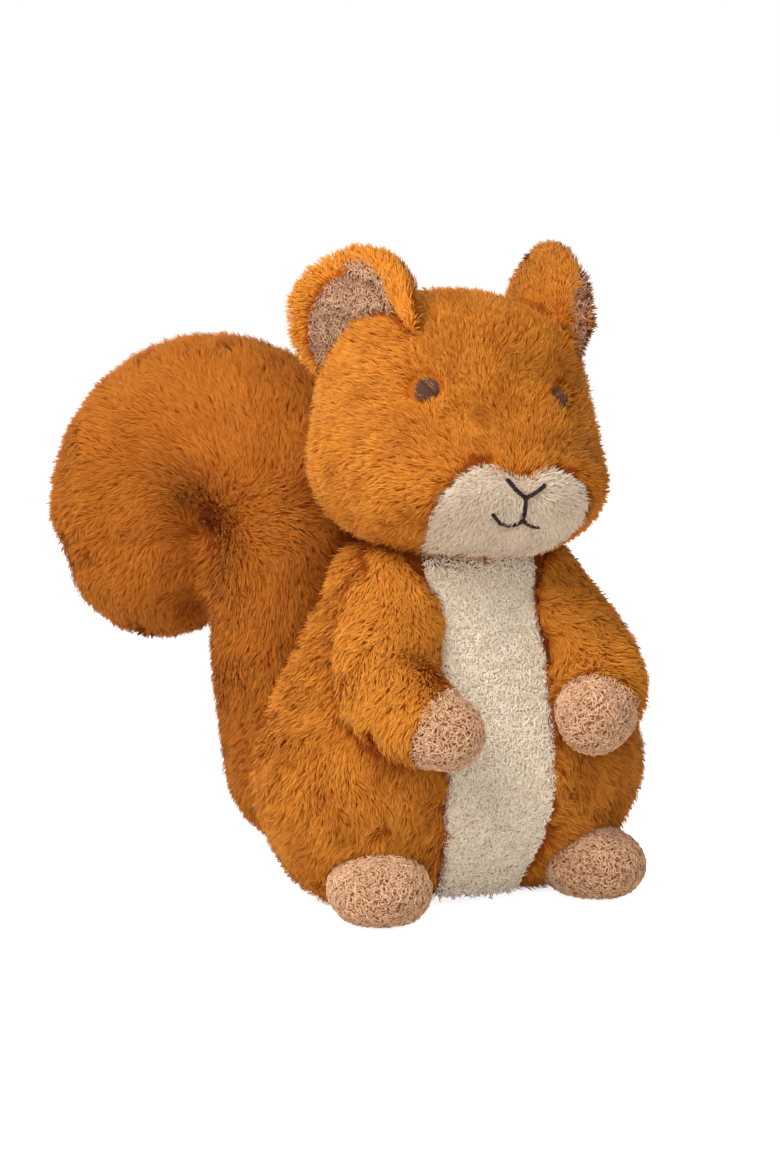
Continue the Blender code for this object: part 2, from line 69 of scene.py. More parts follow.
# The toy stands 61 pixels off the middle of a picture that is 1170 pixels high.
lens.shift_x = -61.0 / 1170.0
lens.clip_start = 0.05
lens.clip_end = 20.0
camera = bpy.data.objects.new("camera", lens)
camera.location = CAMERA_AIM - looking * CAMERA_DISTANCE
camera.rotation_mode = "QUATERNION"
camera.rotation_quaternion = looking.to_track_quat("-Z", "Y")
bpy.context.scene.collection.objects.link(camera)
bpy.context.scene.camera = camera
bpy.context.scene.view_settings.view_transform = "Standard"
print("camera at", tuple(round(x, 3) for x in camera.location))

# %% [markdown]
# One small function adds a shader node with its settings and its links, and one turns a colour as it
# is picked on a screen into the linear numbers that a shader works with.

# %% Helpers for materials


def linear(colour):
    """An sRGB colour such as "#C27A2C" as linear numbers with an alpha of 1."""
    parts = [int(colour[i:i + 2], 16) / 255 for i in (1, 3, 5)]
    parts = [p / 12.92 if p <= 0.04045 else ((p + 0.055) / 1.055) ** 2.4 for p in parts]
    return (*parts, 1.0)


def add_node(tree, kind, settings=None, values=None, links=None):
    """Adds a node: its settings, the values of its inputs, and links as {input: output socket}."""
    node = tree.nodes.new(kind)
    for name, value in (settings or {}).items():
        setattr(node, name, value)
    for name, value in (values or {}).items():
        node.inputs[name].default_value = value
    for name, output in (links or {}).items():
        tree.links.new(output, node.inputs[name])
    return node


def new_material(name):
    material = bpy.data.materials.new(name)
    material.use_nodes = True
    return material, material.node_tree, material.node_tree.nodes["Principled BSDF"]


# %% [markdown]
# The photograph has a pure white ground and a large soft light from the front and above. The floor
# and the sky are white only where the camera sees them, so the light on the fur stays plain.

# %% Floor, sky and lights
bpy.ops.object.select_all(action="DESELECT")
bpy.ops.mesh.primitive_plane_add(size=8.0, location=(0.0, 0.0, -0.0005))
floor = bpy.context.object
floor.name = "floor"
paper, tree, shader = new_material("white_paper")
shader.inputs["Base Color"].default_value = linear("#F4F2EF")
shader.inputs["Roughness"].default_value = 0.9
floor.data.materials.append(paper)
path = add_node(tree, "ShaderNodeLightPath")
glow = add_node(tree, "ShaderNodeEmission", values={"Color": (1, 1, 1, 1), "Strength": 0.85})
added = add_node(tree, "ShaderNodeAddShader", links={0: shader.outputs[0], 1: glow.outputs[0]})
mixed = add_node(tree, "ShaderNodeMixShader", links={
    0: path.outputs["Is Camera Ray"], 1: shader.outputs[0], 2: added.outputs[0]})
tree.links.new(mixed.outputs[0], tree.nodes["Material Output"].inputs["Surface"])

sky = bpy.data.worlds.new("studio")
sky.use_nodes = True
bpy.context.scene.world = sky
tree = sky.node_tree
fill = tree.nodes["Background"]
fill.inputs["Color"].default_value = (1.0, 0.975, 0.94, 1.0)
fill.inputs["Strength"].default_value = 0.30
path = add_node(tree, "ShaderNodeLightPath")
white = add_node(tree, "ShaderNodeBackground", values={"Color": (1, 1, 1, 1), "Strength": 1.0})
mixed = add_node(tree, "ShaderNodeMixShader", links={
    0: path.outputs["Is Camera Ray"], 1: fill.outputs[0], 2: white.outputs[0]})
tree.links.new(mixed.outputs[0], tree.nodes["World Output"].inputs["Surface"])


def soft_light(name, azimuth, elevation, distance, size, power):
    """A square lamp that looks at the squirrel; azimuth 0 is in front of it, 90 on its left."""
    a, e = math.radians(azimuth), math.radians(elevation)
    back = Vector((math.sin(a) * math.cos(e), -math.cos(a) * math.cos(e), math.sin(e)))
    lamp = bpy.data.lights.new(name, "AREA")
    lamp.shape = "SQUARE"
    lamp.size = size
    lamp.energy = power
    placed = bpy.data.objects.new(name, lamp)
    placed.location = Vector((0.0, 0.0, 0.1)) + back * distance
    placed.rotation_mode = "QUATERNION"
    placed.rotation_quaternion = (-back).to_track_quat("-Z", "Y")
    bpy.context.scene.collection.objects.link(placed)


soft_light("key_softbox", -62.0, 46.0, 1.2, 0.7, 15.5)
soft_light("side_softbox", -95.0, 20.0, 1.3, 0.7, 2.2)
soft_light("fill_softbox", -15.0, 16.0, 1.5, 1.0, 6.0)
soft_light("back_softbox", -165.0, 30.0, 1.4, 0.9, 6.0)
soft_light("rim_softbox", 140.0, 25.0, 1.4, 0.8, 3.0)

# %% [markdown]
# The pile is dyed polyester: matt, a little silky, deeper in colour at the root, where light hardly
# gets in. Every strand carries a map whose first number is its own tone and whose second runs from
# the root, 0, to the tip, 1. The colour is read off that map, so it stays on the strand from every
# side. Terry and thread work the same way.

# %% Pile, terry and thread materials


def pile_material(name, root, middle, tip, dark, roughness, sheen, sheen_tint):
    """Dyed fibre: a ramp from root to tip, mixed towards a darker colour by the strand's own tone.

    The tone holds random differences of dye and painted shade.
    """
    material, tree, shader = new_material(name)
    place = add_node(tree, "ShaderNodeUVMap", {"uv_map": "OFBake"})
    split = add_node(tree, "ShaderNodeSeparateXYZ", links={0: place.outputs[0]})
    ramp = add_node(tree, "ShaderNodeValToRGB", links={0: split.outputs["Y"]})
    ramp.color_ramp.elements[0].color = linear(root)
    ramp.color_ramp.elements[1].color = linear(tip)
    between = ramp.color_ramp.elements.new(0.45)
    between.color = linear(middle)
    # A colour mix keeps its two colours in the sixth and seventh inputs, and gives the second output.
    mixed = add_node(tree, "ShaderNodeMix", {"data_type": "RGBA"}, {7: linear(dark)}, {
        0: split.outputs["X"], 6: ramp.outputs["Color"]})
    tree.links.new(mixed.outputs[2], shader.inputs["Base Color"])
    shader.inputs["Roughness"].default_value = roughness
    shader.inputs["Specular IOR Level"].default_value = 0.12
    shader.inputs["Sheen Weight"].default_value = sheen
    shader.inputs["Sheen Roughness"].default_value = 0.4
    shader.inputs["Sheen Tint"].default_value = linear(sheen_tint)
    return material


# Brushed polyester: orange-brown depths under lighter tips, with a soft shine along the edges.
caramel_pile = pile_material(
    "caramel_polyester_pile", "#A04C0C", "#C66C14", "#E49C3E", "#903E06", 0.8, 0.18, "#F0A860")
# The same fibre in cream, cut short: almost even in tone, so the face stitches stand out on it.
cream_pile = pile_material(
    "cream_polyester_pile", "#B09070", "#DCC6AC", "#F3E6D4", "#C2A486", 0.85, 0.12, "#FFF0DC")
# Woven cotton loops: quite matt, so that only their own shade shows how they curl.
cream_terry = pile_material(
    "cream_cotton_terry", "#D8B890", "#F4E0C6", "#FFF6E4", "#DCC0A0", 0.9, 0.1, "#FFF2DF")
# Beige loops have much darker roots and ground between them, as painted shade, which gives paws
# and feet their coarse grain.
beige_terry = pile_material(
    "beige_cotton_terry", "#824A30", "#CC9C76", "#EAC09A", "#A06A48", 0.9, 0.1, "#FFD9B8")
# The lining is the same cotton, darker, because the cup of the ear keeps the light out.
lining_terry = pile_material(
    "shaded_cotton_terry", "#6A3C26", "#BA8A68", "#DCB290", "#6A4432", 0.9, 0.1, "#FFD9B8")
# Satin stitch of brown rayon, the smoothest finish here. Each thread has a painted highlight along
# its top and painted shade beneath.
eye_thread = pile_material(
    "brown_rayon_satin_stitch", "#120602", "#30180E", "#7C5846", "#200E08", 0.5, 0.06, "#C0A090")
# Cotton embroidery thread, nearly black: a thin dull line on the cream, with a faint painted
# highlight along the top of each stitch.
face_thread = pile_material(
    "black_brown_cotton_thread", "#0C0808", "#241A18", "#3C302E", "#100C0C", 0.7, 0.05, "#806860")
print("fabrics:", caramel_pile.name, cream_pile.name, cream_terry.name, beige_terry.name)

# %% [markdown]
# Under the pile is the fabric, a stuffed skin. Each skin starts as a copy of its CAD solid, merged,
# remeshed into even squares and drawn in by the depth of the pile, so that the tips of the pile
# end where the solid ends. A short cloth simulation then puffs it, as stuffing does.

# %% Skins
CLOTH_FRAMES = 20
CLOTH_PRESSURE = 4.0
CLOTH_CAP = 1.2 * MM
# A skin lies no deeper than this share of its piece's thickness, and hardly so along a seam.
THIN_SHARE = 0.30
SEAM_DEPTH = 0.1 * MM
# Rays start this many mm inside the surface, and a seam is where another piece is this near.
THICKNESS_LEAD, SEAM_LEAD = 0.6, 0.5
SEAM_NEAR = 1.6 * MM
DEPTH_ROUNDS = 4
DRAWING_STEPS = 3


def even_mesh(node, voxel, inset, name, stuffed):
    """A copy of a CAD node as an even mesh, drawn in by the depth of its pile."""
    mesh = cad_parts[node].data.copy()
    mesh.name = name
    skin = bpy.data.objects.new(name, mesh)
    bpy.context.scene.collection.objects.link(skin)
    bpy.ops.object.select_all(action="DESELECT")
    skin.select_set(True)
    bpy.context.view_layer.objects.active = skin
    mesh.materials.clear()
    welded = bmesh.new()
    welded.from_mesh(mesh)
    bmesh.ops.remove_doubles(welded, verts=welded.verts, dist=0.02 * MM)
    welded.to_mesh(mesh)
    welded.free()
    remesh = skin.modifiers.new("even", "REMESH")
    remesh.mode = "VOXEL"
    remesh.voxel_size = voxel
    bpy.ops.object.modifier_apply(modifier=remesh.name)
    draw_in(skin, inset, solids[node], everything(but=node))
    if stuffed:
        puff(skin)
    return skin


def places_of(mesh):
    places = np.empty(len(mesh.vertices) * 3, np.float32)
    mesh.vertices.foreach_get("co", places)
    return places.reshape(-1, 3).astype(float)


def arrays_of(mesh):
    """Places, normals and triangles of a mesh, as arrays."""
    normals = np.empty(len(mesh.vertices) * 3, np.float32)
    mesh.vertex_normals.foreach_get("vector", normals)
    mesh.calc_loop_triangles()
    corners = np.empty(len(mesh.loop_triangles) * 3, np.int32)
    mesh.loop_triangles.foreach_get("vertices", corners)
    return places_of(mesh), normals.reshape(-1, 3).astype(float), corners.reshape(-1, 3)


def unit(vectors):
    return vectors / np.maximum(np.linalg.norm(vectors, axis=-1, keepdims=True), 1e-12)


def solid_tree(node):
    """A search tree over a CAD node's surface."""
    places, _, corners = arrays_of(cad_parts[node].data)
    return BVHTree.FromPolygons(places.tolist(), corners.tolist(), epsilon=0.0)


def everything(but=None):
    """One search tree over all the solids together, or over all but one."""
    places, corners, first = [], [], 0
    for name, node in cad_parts.items():
        if name == but:
            continue
        place, _, corner = arrays_of(node.data)
        places.append(place)
        corners.append(corner + first)
        first += len(place)
    return BVHTree.FromPolygons(
        np.concatenate(places).tolist(), np.concatenate(corners).tolist(), epsilon=0.0)


def draw_in(skin, inset, own, others):
    """Moves each vertex inwards by the pile's depth, or by a share of the piece where it is thin.

    Where the piece is sewn to another one, the skin stays at the seam.
    """
    mesh = skin.data
    places, normals, _ = arrays_of(mesh)
    room = np.full(len(places), inset)
    for i, (place, normal) in enumerate(zip(places, normals)):
        start, way = Vector(place), Vector(-normal)
        hit = own.ray_cast(start + way * THICKNESS_LEAD * MM, way, 6 * inset)
        if hit[0] is not None:
            room[i] = min(inset, THIN_SHARE * (hit[3] + THICKNESS_LEAD * MM))
        if others.ray_cast(start + way * SEAM_LEAD * MM, -way, SEAM_NEAR)[0] is not None:
            room[i] = SEAM_DEPTH
    edges = np.empty(len(mesh.edges) * 2, np.int32)
    mesh.edges.foreach_get("vertices", edges)
    edges = edges.reshape(-1, 2)
    meets = np.bincount(edges.ravel(), minlength=len(room))
    for _ in range(DEPTH_ROUNDS):
        total = np.bincount(edges[:, 0], room[edges[:, 1]], len(room))
        total += np.bincount(edges[:, 1], room[edges[:, 0]], len(room))
        room = np.minimum(room, 0.5 * room + 0.5 * total / np.maximum(meets, 1))
    for _ in range(DRAWING_STEPS):
        places, normals, _ = arrays_of(mesh)
        places -= normals * (room / DRAWING_STEPS)[:, None]
        mesh.vertices.foreach_set("co", places.astype(np.float32).ravel())
        mesh.update()
    smooth = skin.modifiers.new("even", "SMOOTH")
    smooth.factor = 0.5
    smooth.iterations = 3
    bpy.ops.object.modifier_apply(modifier=smooth.name)


def puff(skin):
    """Swells the skin by a short cloth simulation, and keeps each point within the cap."""
    before = places_of(skin.data)
    cloth = skin.modifiers.new("stuffing", "CLOTH")
    cloth.settings.use_pressure = True
    cloth.settings.uniform_pressure_force = CLOTH_PRESSURE
    cloth.settings.effector_weights.gravity = 0.0
    cloth.settings.quality = 4
    for number in range(1, CLOTH_FRAMES + 1):
        bpy.context.scene.frame_set(number)
    bpy.ops.object.modifier_apply(modifier=cloth.name)
    bpy.context.scene.frame_set(1)
    moved = places_of(skin.data) - before
    far = np.linalg.norm(moved, axis=1, keepdims=True)
    after = before + moved * np.minimum(1.0, CLOTH_CAP / np.maximum(far, 1e-9))
    skin.data.vertices.foreach_set("co", after.astype(np.float32).ravel())
    skin.data.update()
    print("  ", skin.name, "swelled by", round(float(far.mean()) / MM, 2), "mm before the cap")


solids = {name: solid_tree(name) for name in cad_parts}
print("search trees:", len(solids))

# %% [markdown]
# A strand needs to know four things about the place it grows from: which way is out, how far it is
# to the end of the CAD solid, which way the pile was brushed, and whether anybody could see it. They
# are worked out once for each vertex of the skin, and a strand takes the mean of its triangle.

# %% What the skin says about its pile
SKY_RAYS = 14
SKY_LIFT = 0.2 * MM
SKY_REACH = 60 * MM
# Pile thins out where this number times the open share of the sky is below 1.
OPEN_ENOUGH = 12.0


def sky_directions(count):
    """Directions spread evenly over the upper half of a ball."""
    step = math.pi * (3 - math.sqrt(5))
    rise = (np.arange(count) + 0.5) / count
    flat = np.sqrt(1 - rise**2)
    angle = np.arange(count) * step
    return np.stack([flat * np.cos(angle), flat * np.sin(angle), rise], 1)


all_solids = everything()


def room_above(node, places, normals, usual):
    """How far each point may reach to the solid's end, and how open the view from there is."""
    own = solids[node]
    reach = np.full(len(places), usual)
    sky = np.ones(len(places))
    rays = sky_directions(SKY_RAYS)
    for i, (place, normal) in enumerate(zip(places, normals)):
        start, way = Vector(place), Vector(normal)
        hit = own.ray_cast(start, way, 3 * usual)
        if hit[0] is not None:
            reach[i] = hit[3]
        end = start + way * (reach[i] + SKY_LIFT)
        turn = way.to_track_quat("Z", "Y").to_matrix()
        seen = 0
        for ray in rays:
            seen += all_solids.ray_cast(end, turn @ Vector(ray), SKY_REACH)[0] is None
        sky[i] = seen / SKY_RAYS
    return np.clip(reach, 0.5 * usual, 1.5 * usual), sky


def waves(places, size, seed, count=10):
    """Smooth random numbers in three channels that vary over about this size in metres."""
    chance = np.random.default_rng(seed)
    total = np.zeros((len(places), 3))
    for channel in range(3):
        for _ in range(count):
            way = unit(chance.normal(size=3))
            pitch = 2 * math.pi / (size * chance.uniform(0.7, 1.5))
            total[:, channel] += np.sin(places @ way * pitch + chance.uniform(0, 2 * math.pi))
    return total / math.sqrt(count / 2)


def scatter(places, corners, weights, per_mm2, seed):
    """Random places on the skin: triangle numbers and the shares of their three corners."""
    chance = np.random.default_rng(seed)
    a, b, c = (places[corners[:, i]] for i in range(3))
    area = np.linalg.norm(np.cross(b - a, c - a), axis=1) / 2 / MM**2
    wanted = area * weights[corners].mean(1) * per_mm2
    whole = np.floor(wanted + chance.uniform(size=len(wanted))).astype(int)
    triangle = np.repeat(np.arange(len(corners)), whole)
    u = np.sqrt(chance.uniform(size=len(triangle)))
    v = chance.uniform(size=len(triangle))
    shares = np.stack([1 - u, u * (1 - v), u * v], 1)
    return triangle, shares


def roots_on(skin, node, depth, per_mm2, seed, bare=None, only=None):
    """Where pile stands on a skin: roots, ways out, room above them and how closed it is there.

    `bare` gives 1 where the skin has no pile, and `only` gives 1 where it has some.
    """
    places, normals, corners = arrays_of(skin.data)
    reach, sky = room_above(node, places, normals, depth * MM)
    weights = np.clip(sky * OPEN_ENOUGH, 0.0, 1.0)
    if bare:
        weights = weights * (1.0 - bare(places, normals))
    if only:
        weights = weights * only(places, normals)
    triangle, shares = scatter(places, corners, weights, per_mm2, seed)
    own = corners[triangle]
    take = lambda values: np.einsum("ij,ij...->i...", shares, values[own])
    return take(places), unit(take(normals)), take(reach), 1 - take(sky)


# %% [markdown]
# A strand is a thin flat blade, bent over by the brush: it widens from the root to a joint, and
# closes at the tip, two triangles in all. A real fibre is about 0.05 mm thick, too fine to show, so
# a blade is as wide as a small bundle of them. Neighbouring blades lean together into small tufts,
# as fibres that rub on each other do. Every blade borrows its shading from the skin, so that the
# coat is lit as one soft surface.

# %% Blades
BLADE_WIDTHS = (0.7, 1.3)
BLADE_TWIST = 0.9
BLADE_CURL = 0.13
# How many mm of a blade are hidden in the fabric.
ROOT_DEPTH = 0.3
# Where a blade bends, as shares of its height, its length and its curl.
JOINT_HEIGHT, JOINT_ALONG, JOINT_CURL = 0.68, 0.38, 0.25


def tufts(roots, per_tuft, seed):
    """For each root, the number of the tuft it belongs to, and the roots that lead the tufts."""
    chance = np.random.default_rng(seed)
    chosen = chance.choice(len(roots), max(1, len(roots) // per_tuft), replace=False)
    tree = kdtree.KDTree(len(chosen))
    for number, at in enumerate(chosen):
        tree.insert(roots[at], number)
    tree.balance()
    owner = np.array([tree.find(root)[1] for root in roots])
    return owner, chosen


def blades(roots, outward, lean, high, long, width, tone, lit, seed, softness):
    """Blades of two triangles as vertices, normals, triangles and map places.

    `lit` is the way that the coat faces at each root, as the light sees it, and `softness` is the
    share of it in a blade's shading; the rest is the way that the blade itself faces.
    """
    chance = np.random.default_rng(seed)
    count = len(roots)
    high, long = high[:, None], long[:, None]
    sideways = np.cross(outward, lean)
    curl = sideways * chance.normal(0, BLADE_CURL, count)[:, None] * long
    joint = roots + outward * high * JOINT_HEIGHT + lean * long * JOINT_ALONG + curl * JOINT_CURL
    tip = roots + outward * high + lean * long + curl
    base = roots - outward * ROOT_DEPTH * MM
    twist = chance.uniform(-BLADE_TWIST, BLADE_TWIST, count)[:, None]
    across = unit(sideways * np.cos(twist) + outward * np.sin(twist))
    half = (width * chance.uniform(*BLADE_WIDTHS, count))[:, None] / 2
    places = np.stack([base, joint - across * half, joint + across * half, tip], 1)
    way = unit(tip - joint)
    facing = np.cross(way, across)
    inwards = np.sum(facing * outward, 1)[:, None] < 0
    facing = unit(np.where(inwards, -facing, facing))
    normal = unit(lit * softness + facing * (1 - softness))
    normals = np.repeat(normal[:, None, :], 4, 1)
    pattern = np.array([[0, 2, 1], [1, 2, 3]])
    flip = np.sum(np.cross(across, way) * outward, 1) < 0
    faces = np.where(flip[:, None, None], pattern[None, :, ::-1], pattern[None])
    faces = faces + (np.arange(count) * 4)[:, None, None]
    at = np.empty((count, 4, 2))
    at[:, :, 0] = np.clip(tone, 0.01, 0.99)[:, None] + np.array([0, -1, 1, 0])[None] * 0.004
    at[:, :, 1] = np.array([0.01, 0.55, 0.55, 0.99])[None]
    return places, normals, faces, at


def join_up(parts):
    """Joins pieces given as vertices, normals, triangles and map places."""
    start = np.cumsum([0] + [len(part[0]) for part in parts])
    return (
        np.concatenate([part[0] for part in parts]),
        np.concatenate([part[1] for part in parts]),
        np.concatenate([part[2] + first for part, first in zip(parts, start)]),
        np.concatenate([part[3] for part in parts]),
    )


def piece_from(name, part, material):
    """Makes the object from arrays, with its map and its borrowed normals, all above the ground."""
    places, normals, faces, at = part
    places[:, 2] = np.maximum(places[:, 2], 0.0)
    mesh = bpy.data.meshes.new(name)
    mesh.vertices.add(len(places))
    mesh.loops.add(len(faces) * 3)
    mesh.polygons.add(len(faces))
    mesh.vertices.foreach_set("co", places.astype(np.float32).ravel())
    mesh.loops.foreach_set("vertex_index", faces.astype(np.int32).ravel())
    mesh.polygons.foreach_set("loop_start", np.arange(0, len(faces) * 3, 3, dtype=np.int32))
    mesh.polygons.foreach_set("use_smooth", np.ones(len(faces), bool))
    layer = mesh.uv_layers.new(name="OFBake", do_init=False)
    layer.uv.foreach_set("vector", at[faces.ravel()].astype(np.float32).ravel())
    mesh.update(calc_edges=True)
    mesh.normals_split_custom_set_from_vertices(normals.astype(np.float32))
    mesh.materials.append(material)
    made = bpy.data.objects.new(name, mesh)
    bpy.context.scene.collection.objects.link(made)
    return made


def skin_part(skin, tone, pile):
    """The fabric under the pile, as arrays, with the colour of the roots."""
    places, normals, corners = arrays_of(skin.data)
    at = np.empty((len(places), 2))
    spread = places - places.min(0)
    spread = spread / np.maximum(spread.max(0), 1e-9)
    at[:, 0] = tone + 0.02 * spread[:, 0] + 0.01 * spread[:, 1]
    at[:, 1] = pile + 0.02 * spread[:, 2]
    return places, normals, corners, at


# %% [markdown]
# The brushing follows the toy: away from the nose over the head, down and out over the torso, along
# the arms, outwards round the ears and round the hook of the tail. Each function below takes the
# roots of the strands and gives the way that each was brushed, of any length.

# %% Brushing
# Where the column of the tail turns into its hook, and how far off and which way its middle is.
HOOK_START = np.array((-0.0215, 0.0720, 0.1151))
HOOK_RADIUS = 0.0369
HOOK_TWIST = math.radians(30.0)
HOOK_AWAY = np.array((-math.sin(HOOK_TWIST), math.cos(HOOK_TWIST), 0.0))
HOOK_CENTRE = HOOK_START + HOOK_AWAY * HOOK_RADIUS
# The pile lies down the column below this level, and over towards the tip above it.
COLUMN_TOP = 130 * MM
COLUMN_FADE = 20 * MM
HOOK_FADE = 10 * MM
NOSE_TIP = np.array((0.0, -0.062, 0.152))
EAR_BASE_BELOW = 12 * MM


def brushed_torso(places):
    away = places * (1.0, 1.0, 0.0)
    return unit(away) * 0.5 + np.array((0.0, 0.1, -0.8))


def brushed_head(places):
    """Away from the nose: up the brow, back over the crown, down and back on the cheeks."""
    return unit(places - NOSE_TIP) * 1.2 + np.array((0.0, 0.3, -0.25))


def brushed_arm(places):
    """Down and outwards, each arm to its own side."""
    own_side = np.ones_like(places)
    own_side[:, 0] = np.sign(places[:, 0])
    return np.array((0.35, -0.1, -0.8)) * own_side


def brushed_ear(places):
    """Outwards round the ear, and back over its edge."""
    return unit(places - places.mean(0) + (0.0, 0.0, EAR_BASE_BELOW)) + (0.0, 0.7, 0.0)


def brushed_tail(places):
    """Outwards from the middle of the hook, over it towards the tip, and down at the root."""
    out = places - HOOK_CENTRE
    axle = np.cross(HOOK_AWAY, (0.0, 0.0, 1.0))
    above = np.clip((places[:, 2] - COLUMN_TOP) / COLUMN_FADE, -1.0, 1.0)
    beyond = np.clip(out @ HOOK_AWAY / HOOK_FADE, 0.0, 1.0)
    onward = above * (1.0 - beyond) + beyond
    return unit(out) + 0.9 * onward[:, None] * unit(np.cross(out, axle))


# %% [markdown]
# Some fabrics cover the fur: the belly panel, and the lining where it laps over the edge of an ear.
# Fur under them would only push through, so these functions give 1 where a coat has none. On the
# ears, the lining's loops stand in the places that are left bare for them.

# %% Where a coat is left bare
# The belly panel's half width, and the line on the torso's front below which it covers the fur.
BELLY_HALF_WIDTH = 17 * MM
BELLY_FRONT = -6 * MM
BELLY_FOOT = 6 * MM
THROAT_REACH = 5 * MM
# The ears were measured across the view of the photograph, where their rims can be seen.
ACROSS = np.array((math.cos(CAMERA_TURN), -math.sin(CAMERA_TURN), 0.0))
TOWARDS_EYE = -np.array(looking)
SEEN_FROM_FRONT = 0.3
LINING_LAP = 4 * MM
# The turned rim of the left ear, in mm: a strip between these limits that narrows above and below
# its middle level.
RIM_INNER, RIM_OUTER = 42.0, 46.6
RIM_FOOT, RIM_MIDDLE, RIM_TOP = 187.0, 200.0, 215.0
RIM_NARROWING = 0.010


def close_to(node, places, reach):
    """Which places lie within this reach of a CAD node."""
    tree = solids[node]
    return np.array([tree.find_nearest(Vector(place), reach)[0] is not None for place in places])


def under_belly(places, normals):
    """1 on the torso below the belly panel, which covers it, and at the throat."""
    between = np.abs(places[:, 0]) < BELLY_HALF_WIDTH
    below = (places[:, 1] < BELLY_FRONT) & (places[:, 2] < BELLY_FOOT)
    throat = close_to("muzzle", places, THROAT_REACH)
    return (between & (below | throat)).astype(float)


def at_throat(places, normals):
    """1 on the head where it meets the belly panel."""
    return close_to("belly_panel", places, THROAT_REACH).astype(float)


def lined_edge(places, normals):
    """1 on the right ear beside the inner half of its lining, which laps over the edge there."""
    aside = places @ ACROSS
    middle = aside[close_to("right_ear_lining", places, LINING_LAP / 2)].mean()
    near = close_to("right_ear_lining", places, LINING_LAP)
    return (near & (normals @ TOWARDS_EYE > SEEN_FROM_FRONT) & (aside > middle)).astype(float)


def turned_rim(places, normals):
    """1 on the front rim of the left ear, where its lining is turned outwards."""
    aside, height = places @ ACROSS / MM, places[:, 2] / MM
    inner = RIM_INNER + RIM_NARROWING * (height - RIM_MIDDLE) ** 2
    strip = (aside > inner) & (aside < RIM_OUTER) & (height > RIM_FOOT) & (height < RIM_TOP)
    return (strip & (normals @ TOWARDS_EYE > SEEN_FROM_FRONT)).astype(float)


# %% [markdown]
# A coat is the skin with its blades. Tone varies from strand to strand, from tuft to tuft, and in
# wide soft patches where a hand has brushed the pile the other way. Some strands stand up out of
# the brushing, and they make the soft outline of the toy.

# %% Coats
# The brushing wanders in wide and in narrow waves, and each tuft turns by itself.
WIDE_SWIRL, WIDE_SWIRL_SIZE = 0.55, 26 * MM
NARROW_SWIRL, NARROW_SWIRL_SIZE = 0.45, 9 * MM
TUFT_TURN = 0.30
# A strand that is brushed straight outwards still lies down for this share of its length.
LAID_LEAST = 0.6
# How much more or less of the darker dye tufts, soft patches and strands have than the whole coat.
TUFT_TONE, PATCH_TONE, STRAND_TONE = 0.07, 0.08, 0.08
PATCH_SIZE = 14 * MM
# A place from which more than this share of the sky is hidden lies in a crease.
# There the coat gets painted shade: more of the darker colour.
CREASE_CLOSED = 0.40
# The least and the greatest share of the pile's height and length that a strand has.
STRAND_HEIGHTS = (0.78, 1.05)
STRAND_LENGTHS = (0.65, 1.2)
TUFT_HEIGHT = 0.08
UPRIGHT_SHARE = 0.18
UPRIGHT_HIGHER, UPRIGHT_SHORTER = 1.3, 0.75
UPRIGHT_RISE = 0.6 * MM
# Round embroidery the pile is brushed away from the thread, lower and shorter.
PARTING = 2.0
LOWER_AT_THREAD, SHORTER_AT_THREAD = 0.45, 0.35
# The coat takes the light as one surface with a faint relief, the more so where it is calm.
RELIEF, RELIEF_SIZE = 0.10, 20 * MM
SOFTNESS, CALM_SOFTNESS = 0.68, 0.08
# How far along its leader a tuft gathers, and how far tips and joints are drawn together there.
TUFT_TIP, TUFT_PULL, JOINT_PULL = 0.9, 0.35, 0.45
FABRIC_TONE = 0.35
# Below this level the muzzle's pile grows longer and hangs over the seam at the throat.
FRINGE_TOP = 134 * MM
FRINGE_FADE = 8 * MM


def brushed_apart(roots, spots):
    """How far pile is from the embroidery, 0 on it and 1 clear of it, and the way off it."""
    free = np.ones(len(roots))
    way = np.zeros((len(roots), 3))
    for tree, margin, reach in spots:
        for i, root in enumerate(roots):
            found = tree.find_nearest(Vector(root), reach)
            if found[0] is None:
                continue
            share = min(1.0, max(0.0, (found[3] - margin) / (reach - margin)))
            if share < free[i]:
                free[i] = share
                way[i] = Vector(root) - found[0]
    return free, unit(way)


def brushed_flow(brushing, roots, outward, swirl, free, off, seed):
    """The way each strand was brushed along the skin, and the share of its length that lies down."""
    flow = unit(brushing(roots))
    flow = flow + swirl * WIDE_SWIRL * waves(roots, WIDE_SWIRL_SIZE, seed + 1)
    flow = flow + swirl * NARROW_SWIRL * waves(roots, NARROW_SWIRL_SIZE, seed + 2)
    flow = flow + off * (1.0 - free)[:, None] * PARTING
    flow = flow - outward * np.sum(flow * outward, 1)[:, None]
    laid = np.clip(np.linalg.norm(flow, axis=1) * 2.0, LAID_LEAST, 1.0)
    return unit(flow), laid


